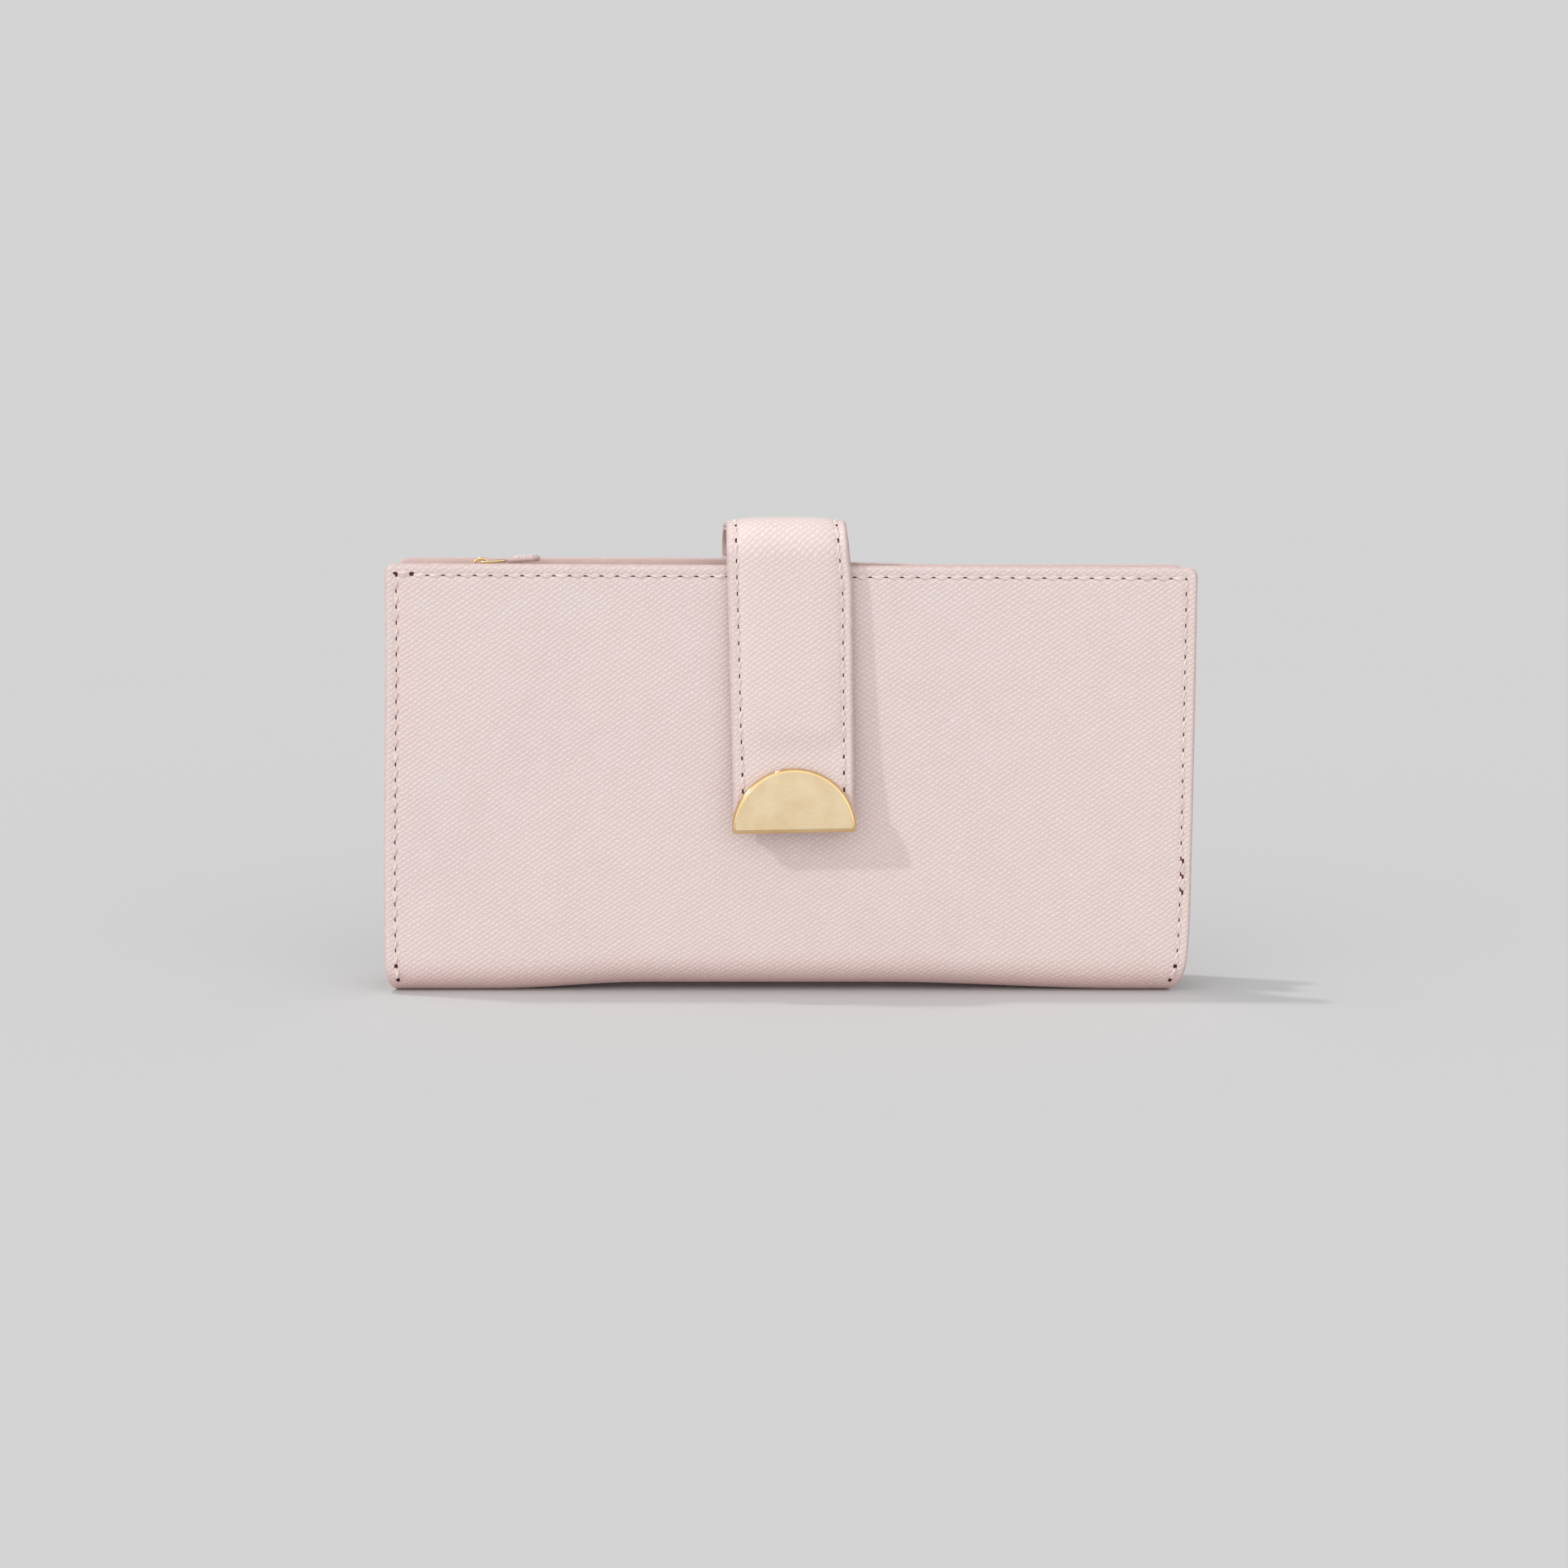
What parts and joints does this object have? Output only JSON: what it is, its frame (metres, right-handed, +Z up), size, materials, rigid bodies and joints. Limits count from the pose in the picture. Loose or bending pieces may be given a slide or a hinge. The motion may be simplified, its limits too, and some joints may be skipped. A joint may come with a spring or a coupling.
{
  "type": "bifold wallet",
  "caption": "Long bifold wallet in embossed pink leather, with a rounded spine, inner card slots, a zipped coin pouch and an over-the-top snap strap with a half-moon metal plate.",
  "frame": {"origin": "middle of the flat foot of the spine, where the closed wallet stands", "axes": "+X along the wallet, +Z up towards the strap's arch, and the front leaf faces -Y"},
  "size_m": [0.168, 0.0326, 0.0991],
  "materials": {
    "cover_leather": "pale blush pink leather with an embossed diagonal crosshatch grain, a pearly sheen and painted edges",
    "lining_leather": "smooth thin lining leather in a slightly deeper pink, satin",
    "board": "fibre stiffening board, matt, hidden between leathers",
    "padding": "thin felt padding inside the strap",
    "thread": "twisted cream-pink thread, matt",
    "zip_tape": "woven pink zip tape",
    "gold_fittings": "pale gold plate, brushed face with a polished rim",
    "zip_metal": "polished pale gold zip teeth, slider and link"
  },
  "bodies": {
    "spine": {"spine_leather": "cover_leather", "spine_lining": "lining_leather"},
    "front_cover": {"front_cover_leather": "cover_leather", "front_cover_board": "board", "front_lining": "lining_leather", "front_note_pocket": "lining_leather", "front_card_slot_1": "lining_leather", "front_card_slot_2": "lining_leather", "front_card_slot_3": "lining_leather", "front_card_slot_4": "lining_leather", "front_side_pocket": "lining_leather", "front_snap_stud": "gold_fittings", "front_snap_rivet": "gold_fittings", "front_seam_thread": "thread"},
    "back_cover": {"back_cover_leather": "cover_leather", "back_cover_board": "board", "back_lining": "lining_leather", "back_seam_thread": "thread", "pouch_front_wall": "lining_leather", "pouch_back_wall": "lining_leather", "pouch_floor": "lining_leather", "pouch_gusset_left": "lining_leather", "pouch_gusset_right": "lining_leather", "note_gusset_left": "lining_leather", "note_gusset_right": "lining_leather", "pouch_card_slot_1": "lining_leather", "pouch_card_slot_2": "lining_leather", "zip_tape_front": "zip_tape", "zip_tape_back": "zip_tape", "zip_chain": "zip_metal", "zip_stop_left": "zip_metal", "zip_stop_right": "zip_metal", "strap_root_leather": "cover_leather", "strap_root_thread": "thread"},
    "strap_arch": {"strap_arch_leather": "cover_leather", "strap_arch_padding": "padding", "strap_arch_lining": "lining_leather"},
    "strap_tip": {"strap_tip_leather": "cover_leather", "strap_tip_padding": "padding", "strap_tip_lining": "lining_leather", "half_moon_plate": "gold_fittings", "plate_washer_left": "gold_fittings", "plate_washer_right": "gold_fittings", "strap_snap_socket": "gold_fittings", "strap_snap_cap": "gold_fittings", "strap_thread_left": "thread", "strap_thread_right": "thread"},
    "zip_slider": {"zip_slider": "zip_metal"},
    "zip_pull": {"zip_pull_link": "zip_metal", "zip_pull_tab": "cover_leather"}
  },
  "joints": [
    {"name": "wallet_open", "type": "hinge", "parent": "spine", "child": "front_cover", "pos_m": [0, -0.0087, 0.0023], "axis": [1, 0, 0], "range_deg": [0, 85]},
    {"name": "back_cover_fold", "type": "hinge", "parent": "spine", "child": "back_cover", "pos_m": [0, 0.0087, 0.0023], "axis": [-1, 0, 0], "range_deg": [0, 25.5]},
    {"name": "strap_base", "type": "hinge", "parent": "back_cover", "child": "strap_arch", "pos_m": [0, 0.0094, 0.0958], "axis": [-1, 0, 0], "range_deg": [0, 127.5], "deforming": ["strap_arch_leather", "strap_arch_padding", "strap_arch_lining"]},
    {"name": "strap_end", "type": "hinge", "parent": "strap_arch", "child": "strap_tip", "pos_m": [0, -0.0094, 0.0958], "axis": [-1, 0, 0], "range_deg": [0, 127.5], "deforming": ["strap_tip_leather", "strap_tip_padding", "strap_tip_lining", "strap_thread_left", "strap_thread_right"]},
    {"name": "zip_slide", "type": "slide", "parent": "back_cover", "child": "zip_slider", "axis": [1, 0, 0], "range_m": [-0.0055, 0.128]},
    {"name": "zip_pull_swing", "type": "hinge", "parent": "zip_slider", "child": "zip_pull", "pos_m": [-0.0655, 0.0035, 0.0899], "axis": [0, -1, 0], "range_deg": [0, 150]}
  ],
  "couplings": [
    {"joint": "back_cover_fold", "follows": "wallet_open", "ratio": 0.3},
    {"joint": "strap_base", "follows": "wallet_open", "ratio": 1.5},
    {"joint": "strap_end", "follows": "wallet_open", "ratio": 1.5}
  ]
}
